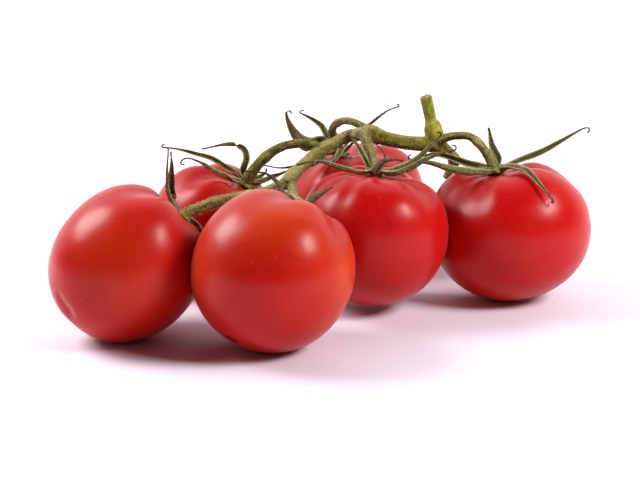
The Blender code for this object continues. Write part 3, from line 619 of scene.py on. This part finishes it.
def button(name, ball, place, up, radius, rise, lobes=0.0):
    """Press a ball of radius 1 into a low button that faces up, with five lobes or none."""
    tilt = up.to_track_quat("Z", "Y").to_matrix()
    for vert in ball.verts:
        out = radius * (1.0 + lobes * math.cos(5 * math.atan2(vert.co.y, vert.co.x)))
        vert.co = (place + tilt @ Vector((vert.co.x * out, vert.co.y * out, vert.co.z * rise))) * MM
    mesh = bpy.data.meshes.new(name)
    ball.to_mesh(mesh)
    ball.free()
    return mesh


stem_pieces = []
for number, (name, part) in enumerate(STEM_PARTS.items()):
    route = part["route"]
    shares = [i / (len(route) - 1) for i in range(len(route))]
    marks = {mark: [part[mark][0] + (part[mark][1] - part[mark][0]) * share for share in shares]
             for mark in ("dry", "green", "pale")}
    line = route_mesh(name, [point[:3] for point in route],
                      radius=[point[3] * MM for point in route], **marks)
    stem_pieces.append(grow(tube, name, {
        "Step": RIB_STEP * MM, "Ridges": float(STALK_RIDGES), "Ridge Depth": RIDGE_DEPTH * MM,
        "Grain": RIB_GRAIN * MM, "Joint At": part["joint"] or 0.0,
        "Joint Swell": JOINT_SWELL if part["joint"] else 0.0, "Seed": 1.3 * number,
        "Material": rind}, line))

# The star's disc lies where the stalk's middle line passes down through the fruit's skin.
stars = {}
for name, fruit in FRUITS.items():
    route = [Vector(point[:3]) * MM for point in STEM_PARTS["stalk_" + name]["route"]]
    for before, after in zip(route, route[1:]):
        hit = fruit_skins[name].ray_cast(before, (after - before).normalized(),
                                         (after - before).length)[0]
        if hit:
            break
    up = Vector(fruit["stem_end"]).normalized()
    stars[name] = (hit / MM + STAR_LIFT * up, up)
    ball = bmesh.new()
    bmesh.ops.create_uvsphere(ball, u_segments=40, v_segments=20, radius=1.0)
    mesh = button("hub_" + name, ball, *stars[name], HUB_RADIUS, HUB_RISE, HUB_LOBES)
    for mark, level in (("dry", 0.35), ("green", 0.35), ("pale", 0.1), ("streak", 0.5), ("joint", 0.0)):
        mark_points(mesh, mark, [level] * len(mesh.vertices))
    stem_pieces.append(mesh)

# The pieces grow together: one skin over all of them, its corners rounded a little.
joined = bmesh.new()
for mesh in stem_pieces:
    joined.from_mesh(mesh)
bmesh.ops.recalc_face_normals(joined, faces=joined.faces)
rough = bpy.data.meshes.new("stem_parts")
joined.to_mesh(rough)
joined.free()
holder = set_out("stem_parts", rough)
wrap = holder.modifiers.new("one_skin", "REMESH")
wrap.mode = "VOXEL"
wrap.voxel_size = SKIN_STEP * MM
wrap.use_smooth_shade = True
stem_mesh = finished(holder, "green_stem")
rounded = bmesh.new()
rounded.from_mesh(stem_mesh)
for _ in range(2):
    bmesh.ops.smooth_vert(rounded, verts=rounded.verts, factor=0.5, use_axis_x=True,
                          use_axis_y=True, use_axis_z=True)
rounded.to_mesh(stem_mesh)
rounded.free()
stem_mesh.materials.clear()
stem_mesh.materials.append(rind)

# The one skin takes its streaks, dryness and greenness from the parts beneath it.
lookup = KDTree(sum(len(mesh.vertices) for mesh in stem_pieces))
known = {mark: [] for mark in ("streak", "dry", "green", "pale", "joint")}
for mesh in stem_pieces:
    first = len(known["dry"])
    for i, spot in enumerate(points_of(mesh)):
        lookup.insert(spot, first + i)
    for mark, values in known.items():
        level = np.empty(len(mesh.vertices))
        mesh.attributes[mark].data.foreach_get("value", level)
        values.extend(level)
lookup.balance()
nearest = [lookup.find_n(spot, 5) for spot in points_of(stem_mesh)]
for mark, values in known.items():
    levels = [sum(values[i] / (d + 1e-5) for _, i, d in near) / sum(1 / (d + 1e-5) for _, _, d in near)
              for near in nearest]
    mark_points(stem_mesh, mark, levels)
place_piece(stem_mesh, ["main_stem", "bare_stalk"] + ["stalk_" + name for name in FRUITS])

# Where the stem was cut, its tan pith and torn fibres show inside the rim of green rind.
CUT_END = Vector((44.0, 23.0, 94.5))
CUT_RADIUS, CUT_CROWN = 2.65, 0.5
FIBRES_PER_MM2 = 2.2
pith, tree, shader, position = new_material("torn_stem_pith", {
    "Roughness": 0.85, "Specular IOR Level": 0.2})
strands = add(tree, NOISE, {"Vector": position, "Scale": 1500.0, "Detail": 3.0})
colour = add(tree, MIX, {0: strands, 6: hexcolour("#7b5a31"), 7: hexcolour("#c9ae78")},
             data_type="RGBA")
tree.links.new(colour.outputs[2], shader.inputs["Base Color"])

# Slivers or hairs that stand on a surface, each a thin closed cone that leans its own way.
bristle = bpy.data.node_groups.new("standing_bristles", "GeometryNodeTree")
inlet = interface(bristle, ["Density", "Length", "Radius", "Lean", "Seed"], geometry=True)
scatter = add(bristle, "GeometryNodeDistributePointsOnFaces",
              {0: inlet["Geometry"], "Density": inlet["Density"],
               "Seed": inlet["Seed"]})
strand = add(bristle, "GeometryNodeMeshCone",
             {"Vertices": 3, "Side Segments": 1, "Fill Segments": 1, "Radius Top": 0.0,
              "Radius Bottom": inlet["Radius"], "Depth": inlet["Length"]})
astray = add(bristle, "FunctionNodeRandomValue", {0: (-1.0, -1.0, -1.0), 1: (1.0, 1.0, 1.0),
                                                  "Seed": 3}, data_type="FLOAT_VECTOR")
astray = add(bristle, VECTOR, {0: astray.outputs[0], "Scale": inlet["Lean"]}, operation="SCALE")
aim = add(bristle, VECTOR, (scatter.outputs["Normal"], astray), operation="ADD")
aim = add(bristle, "FunctionNodeAlignRotationToVector", {"Vector": aim}, axis="Z")
length = add(bristle, "FunctionNodeRandomValue", {2: 0.5, 3: 1.3, "Seed": 5}, data_type="FLOAT")
stood = add(bristle, "GeometryNodeInstanceOnPoints",
            {"Points": scatter.outputs["Points"], "Instance": strand.outputs["Mesh"],
             "Rotation": aim, "Scale": length.outputs[1]})
close_tree(bristle, stood, inlet)

upward = (CUT_END - Vector(STEM_PARTS["stub"]["route"][1][:3])).normalized()
ball = bmesh.new()               # an icosphere's faces always come in the same order, so
bmesh.ops.create_icosphere(ball, subdivisions=3, radius=1.0)    # the fibres stand the same
mesh = button("cut_end_pith", ball, CUT_END, upward, CUT_RADIUS, CUT_CROWN)
mesh.shade_smooth()
mesh.materials.append(pith)
place_piece(mesh, [])
mesh = grow(bristle, "cut_end_fibres", {"Density": FIBRES_PER_MM2 / MM ** 2, "Length": 0.9 * MM,
                                        "Radius": 0.16 * MM, "Lean": 0.45, "Seed": 4.0,
                                        "Material": pith}, mesh.copy())
place_piece(mesh, [])

# Tomato plants are downy all over: fine clear hairs, under a millimetre long.
down, tree, shader, position = new_material("clear_plant_down", {"Roughness": 0.5})
tone = add(tree, NOISE, {"Vector": position, "Scale": 300.0})
colour = add(tree, MIX, {0: tone, 6: hexcolour("#b3ad74"), 7: hexcolour("#efe9cc")},
             data_type="RGBA")
tree.links.new(colour.outputs[2], shader.inputs["Base Color"])
HAIRS_PER_MM2 = 1.0
HAIR = {"Length": 0.95 * MM, "Radius": 0.055 * MM, "Lean": 0.5, "Material": down}
mesh = grow(bristle, "stem_hairs", {"Density": HAIRS_PER_MM2 / MM ** 2, "Seed": 8.0, **HAIR},
            stem_mesh.copy())
place_piece(mesh, [])


# ------------------------------------------------------------ the sepals
# Each fruit's star of narrow leaves. They have dried where they stand: folded along the
# middle, curled at the tips, olive inside with pale edges, and brown towards the ends.
SEPAL_ROOT = 2.6                 # from the middle of the star to a sepal's root
SEPAL_THICK = 0.3
SEPAL_LIFT = 0.9                 # least height of a sepal's middle over a fruit's skin
SEPAL_TIP = 0.8
SEPAL_FOLD = (0.85, 0.2)         # how steeply a blade folds up at its sides, give or take
SEPAL_RIPPLE = 0.9               # how wavy its edges are
CURL_TURN, CURL_POINTS = math.radians(200.0), 4
ACROSS, ALONG = 9, 60            # points across and along a blade

# For each sepal: its width, how far it has twisted to show its face to the front, how
# dry it is, the radius of the curl at its tip (less than 0 curls under), and its points.
SEPAL_ROUTES = {
    "front_left": (
        (3.0, 0.5, 0.7, 0.0, ((-70.5, -51.5, 57), (-72.8, -52, 63.5), (-72.8, -51, 71),
         (-72, -50, 79), (-72, -49, 82))),
        (5.6, 1.0, 0.95, 0.0, ((-72, -45.5, 57.5), (-71.8, -44.5, 63.5), (-71, -44.5, 73.5),
         (-71.5, -43.5, 79.5))),
        (4.8, 0.3, 0.5, -1.2, ((-61.5, -48.5, 47.5), (-59.5, -50, 43), (-59.8, -53, 38))),
        (4.8, 0.2, 0.5, -1.2, ((-66.5, -40.5, 50), (-65.5, -34.5, 49.5), (-66, -28.5, 48))),
        (4.8, 0.2, 0.4, 1.2, ((-62.5, -43, 45.5), (-60.5, -37, 42), (-61.5, -33, 36)))),
    "front_centre": (
        (3.8, 0.5, 0.9, 0.0, ((-19.5, -54.5, 60.5), (-24, -50, 63), (-26.8, -45.5, 66.8),
         (-30.5, -44, 69.5), (-34, -45, 70.5), (-39, -46, 71))),
        (5.0, 0.9, 0.95, 0.0, ((-10, -53, 60), (-6, -51, 62.5), (-1.5, -49, 65))),
        (4.8, 0.3, 0.5, -1.3, ((-9, -52, 53.5), (-3, -51, 49.5), (1.5, -51, 43))),
        (4.8, 0.2, 0.5, 1.2, ((-11, -48, 52.5), (-7, -41, 50), (-7.5, -35, 44))),
        (4.8, 0.2, 0.6, 1.2, ((-21.5, -49.5, 55), (-27, -46, 53), (-32, -43.5, 48)))),
    "middle": (
        (4.0, 0.7, 0.4, 0.0, ((11, -20.5, 65), (3.5, -22, 67.5), (-2, -22, 69.5), (-6.5, -22, 71),
         (-11.5, -22, 71), (-17.5, -22, 69.5))),
        (3.8, 0.8, 0.5, 0.0, ((14.6, -12, 66), (13.4, -10, 70), (10.9, -5, 74.5), (5.9, 3, 80))),
        (5.6, 0.9, 0.95, 0.0, ((18.2, -22.5, 65), (19, -24.5, 68), (20.5, -26, 71),
         (23.5, -27, 72.5), (27, -28, 73), (30, -28, 72.5))),
        (4.6, 0.6, 0.55, 1.3, ((26, -20.5, 64.5), (33, -22, 67), (40, -23, 71.5), (47, -24, 75),
         (53, -24, 76.5))),
        (4.6, 0.6, 0.6, 1.2, ((26.5, -12.5, 64.5), (34, -9, 67), (40, -5, 70.5), (45.5, 0, 75.5),
         (49.5, 3.5, 78.5)))),
    "right": (
        (5.2, 0.7, 0.4, 1.2, ((70.5, 4.5, 62.5), (63, 6, 64.5), (50, 8, 68.5), (40.5, 7.5, 68),
         (36, 6.5, 67))),
        (5.6, 0.7, 0.35, -1.3, ((71, -3, 61.5), (64, -6, 62.5), (54, -8, 64.5), (44, -5.5, 67.3),
         (37, -1.5, 67), (34, -0.5, 66))),
        (5.0, 0.5, 0.4, -1.0, ((83, -3, 64), (88.5, -13, 63), (93, -22.5, 59.5), (97, -28, 55))),
        (4.8, 0.8, 0.5, -1.2, ((86, 5, 65), (97, 6, 70.5), (108.5, 8, 76.5), (116, 9.5, 80.5),
         (119, 10, 81.5))),
        (5.2, 1.0, 0.5, 1.3, ((78, 11.5, 65.5), (75.5, 17, 72), (74.5, 20, 78.5)))),
    "back_left": (
        (3.9, 0.6, 0.45, 1.1, ((-48.5, 9, 60), (-52, 6.5, 63), (-58.5, 2.5, 68), (-66, -1, 71),
         (-73.5, -3, 73.5), (-79.5, -4.5, 74.5))),
        (3.9, 0.6, 0.45, -1.2, ((-48.5, 1.5, 57.5), (-53, -3, 60.5), (-57.5, -7, 64),
         (-62, -10, 68), (-67.5, -13, 71), (-69.5, -14, 70.5))),
        (4.3, 0.8, 0.45, 0.0, ((-44.5, 14, 60), (-42.5, 17, 65.5), (-44, 19, 70), (-51.5, 19, 72),
         (-64, 17, 70))),
        (4.4, 0.4, 0.4, 1.1, ((-36, 8, 54.5), (-30, 11.5, 56.5), (-22.5, 16, 59.5))),
        (4.6, 0.2, 0.4, 1.2, ((-39.5, 16, 54), (-36.5, 23, 54.5), (-34, 30, 56)))),
    "back_centre": (
        (10.5, 1.0, 0.35, 1.4, ((-5.5, 61.5, 64), (-11, 58, 64.5), (-16, 54, 67), (-20, 52, 72),
         (-23, 51, 78), (-24, 51, 82))),
        (5.0, 0.8, 0.4, 1.2, ((-0.5, 70, 65), (-3, 71, 67.5), (-5.5, 74, 71.5), (-9, 76, 74.5),
         (-14, 76, 77.5), (-17, 75, 79))),
        (3.2, 0.6, 0.6, 1.0, ((9, 71.5, 65.5), (13, 74, 68.5), (19.5, 76, 73), (28, 78, 79.5),
         (34, 78, 82))),
        (4.8, 0.2, 0.5, 1.2, ((4.5, 57, 62.5), (2.5, 51, 60.5), (0.5, 45, 59), (-2.5, 41, 58))),
        (4.2, 0.6, 0.85, 0.0, ((-3, 53, 61), (-7, 46.5, 58.5), (-12, 41, 57), (-19, 36.5, 57.5),
         (-27, 34, 57.5), (-36, 32, 59.5))),
        (2.2, 0.5, 1.0, 0.0, ((10.5, 60.5, 65.5), (16, 56.5, 68), (21, 54, 66.5), (25.5, 50.5, 62),
         (25.5, 48, 59)))),
}

blade = bpy.data.node_groups.new("folded_sepal", "GeometryNodeTree")
inlet = interface(blade, ["Width", "Tip Width", "Fold", "Ripple", "Dryness", "Seed"], geometry=True)
line = add(blade, "GeometryNodeMeshToCurve", {0: inlet["Geometry"]})
line = add(blade, "GeometryNodeCurveSplineType", {0: line}, spline_type="CATMULL_ROM")
line = add(blade, "GeometryNodeResampleCurve", {0: line, "Count": 80})
sheet = add(blade, "GeometryNodeMeshGrid", (1.0, 1.0, ACROSS, ALONG))
spot = add(blade, "GeometryNodeInputPosition")
axes = add(blade, "ShaderNodeSeparateXYZ", (spot,))
across = add(blade, MATH, (axes.outputs["X"], 2.0), operation="MULTIPLY")
along = add(blade, MATH, (axes.outputs["Y"], 0.5), operation="ADD", use_clamp=True)
facing = add(blade, "GeometryNodeInputNamedAttribute", {"Name": "side"}, data_type="FLOAT_VECTOR")
middle = add(blade, "GeometryNodeSampleCurve",
             {"Curves": line, "Value": facing, "Factor": along}, data_type="FLOAT_VECTOR")
side = add(blade, VECTOR, (middle.outputs[0],), operation="NORMALIZE")
upward = add(blade, VECTOR, (middle.outputs["Tangent"], side), operation="CROSS_PRODUCT")
upward = add(blade, VECTOR, (upward,), operation="NORMALIZE")
# Narrow at the root, widest at a quarter of its length, then drawn out to a thread.
swell = along
for operation, *others in (("MULTIPLY_ADD", 0.85, 0.15), ("POWER", 0.7), ("MULTIPLY", math.pi),
                           ("SINE",), ("POWER", 1.25), ("MULTIPLY", inlet["Width"]),
                           ("MAXIMUM", inlet["Tip Width"])):
    swell = add(blade, MATH, (swell, *others), operation=operation)
half = add(blade, MATH, (swell, 0.5), operation="MULTIPLY")
waves = add(blade, NOISE, {"W": inlet["Seed"], "Scale": 1.0, "Detail": 1.0,
            "Vector": add(blade, "ShaderNodeCombineXYZ", (across, add(blade, MATH,
                          (along, 7.0), operation="MULTIPLY")))}, noise_dimensions="4D")
waves = add(blade, MATH, (waves, 0.5), operation="SUBTRACT")
waves = add(blade, MATH, (waves, inlet["Ripple"]), operation="MULTIPLY")
lift = across
for operation, *others in (("ABSOLUTE",), ("POWER", 1.1), ("MULTIPLY", inlet["Fold"]), ("ADD", waves),
                           ("MULTIPLY", half)):
    lift = add(blade, MATH, (lift, *others), operation=operation)
closing = add(blade, MATH, (inlet["Fold"], -0.35, 1.0), operation="MULTIPLY_ADD")
reach = across
for factor in (closing, half):
    reach = add(blade, MATH, (reach, factor), operation="MULTIPLY")
out = add(blade, VECTOR, {0: side, "Scale": reach}, operation="SCALE")
rise = add(blade, VECTOR, {0: upward, "Scale": lift}, operation="SCALE")
shift = add(blade, VECTOR, (out, rise), operation="ADD")
target = add(blade, VECTOR, (middle.outputs["Position"], shift), operation="ADD")
for mark, value in (("across", across), ("along", along), ("dry", inlet["Dryness"])):
    sheet = add(blade, "GeometryNodeStoreNamedAttribute",
                {0: sheet.outputs[0], "Name": mark, "Value": value}, data_type="FLOAT")
sheet = add(blade, "GeometryNodeSetPosition", {0: sheet, 2: target})
close_tree(blade, sheet, inlet)

# Dried sepal: leathery leaf, matt, with a soft fuzz. The fold is darker than the pale
# edges, and a blade browns and then blackens from its curled tip.
leaf, tree, shader, position = new_material("dried_sepal_leaf", {
    "Roughness": 0.68, "Specular IOR Level": 0.25})
across, along, dry = [add(tree, "ShaderNodeAttribute", attribute_name=name).outputs["Fac"]
                      for name in ("across", "along", "dry")]
mottle = add(tree, NOISE, {"Vector": position, "Scale": 1000.0, "Detail": 4.0, "Roughness": 0.65})
patches = add(tree, NOISE, {"Vector": position, "Scale": 210.0, "Detail": 3.0})
grainy = add(tree, RANGE, (mottle, 0.35, 0.65, 0.0, 1.0))
olive, brown = [add(tree, MIX, {0: grainy, 6: hexcolour(dark), 7: hexcolour(light)},
                    data_type="RGBA").outputs[2]
                for dark, light in (("#3c3a15", "#7f7c40"), ("#23150b", "#775a36"))]
margin = add(tree, MATH, (across,), operation="ABSOLUTE")
margin = add(tree, RANGE, (margin, 0.68, 0.92, 0.0, 0.85))
aged = along
for mark, strength in ((patches, 0.9), (dry, 1.1)):
    aged = add(tree, MATH, (mark, strength, aged), operation="MULTIPLY_ADD")
aged = add(tree, RANGE, (aged, 1.40, 1.90, 0.0, 0.92))
burnt = add(tree, RANGE, (along, 0.78, 0.93, 0.0, 0.85))
colour = olive
for share, over in ((margin, hexcolour("#b3a983")), (aged, brown), (burnt, hexcolour("#2f2010"))):
    colour = add(tree, MIX, {0: share, 6: colour, 7: over}, data_type="RGBA").outputs[2]
tree.links.new(colour, shader.inputs["Base Color"])
veins = across
for operation, *others in (("MULTIPLY", 16.0), ("SINE",), ("MULTIPLY_ADD", 0.3, mottle)):
    veins = add(tree, MATH, (veins, *others), operation=operation)
bump = add(tree, "ShaderNodeBump", {"Strength": 0.5, "Distance": 0.15 * MM, "Height": veins})
tree.links.new(bump.outputs[0], shader.inputs["Normal"])


def lifted(spot):
    """A point in millimetres, moved out until it stands clear of every fruit."""
    for _ in range(3):
        for tree in fruit_skins.values():
            near, normal, _, distance = tree.find_nearest(spot * MM)
            outward = (spot * MM - near).normalized()
            if outward.dot(normal) < -0.3:
                distance, outward = -distance, normal
            if distance / MM < SEPAL_LIFT:
                spot = spot + (SEPAL_LIFT - distance / MM) * outward
    return spot


def curled(route, radius, bend):
    """A route whose tip winds on through CURL_TURN, towards the side that it bends to."""
    ahead = (route[-1] - route[-2]).normalized()
    inward = math.copysign(1.0, radius) * (bend - bend.dot(ahead) * ahead).normalized()
    turns = [CURL_TURN * (k + 1) / CURL_POINTS for k in range(CURL_POINTS)] if radius else []
    return route + [route[-1] + abs(radius) * (math.sin(a) * ahead + (1.0 - math.cos(a)) * inward)
                    for a in turns]


seed = 0
for name, blades in SEPAL_ROUTES.items():
    star, up = stars[name]
    for number, (width, face, dryness, curl, points) in enumerate(blades, start=1):
        seed += 1
        outward = Vector(points[0]) - star
        outward = (outward - 0.5 * outward.dot(up) * up).normalized()
        route = [lifted(spot) for spot in (star + SEPAL_ROOT * outward, *map(Vector, points))]
        route = curled(route, curl, up - 0.6 * outward)
        across = up.cross(outward).normalized()
        sides = []
        for i in range(len(route)):
            tangent = (route[min(i + 1, len(route) - 1)] - route[max(i - 1, 0)]).normalized()
            shown = tangent.cross(FRONT)
            shown *= math.copysign(1.0, shown.dot(across)) * face * min(1.0, i / 2)
            side = across * (1.0 - face * min(1.0, i / 2)) + shown
            sides.append((side - side.dot(tangent) * tangent).normalized())
        mesh = grow(blade, f"dried_sepal_{name}_{number}", {
            "Width": width * MM, "Tip Width": SEPAL_TIP * MM, "Ripple": SEPAL_RIPPLE,
            "Fold": SEPAL_FOLD[0] + SEPAL_FOLD[1] * math.sin(2.1 * seed), "Dryness": dryness,
            "Seed": 2.7 * seed, "Material": leaf},
            route_mesh("blade_line", route, side=sides))
        piece = place_piece(mesh, [f"sepal_{name}_{number}"])
        shell = piece.modifiers.new("thickness", "SOLIDIFY")
        shell.thickness = SEPAL_THICK * MM
        shell.offset = 0.0
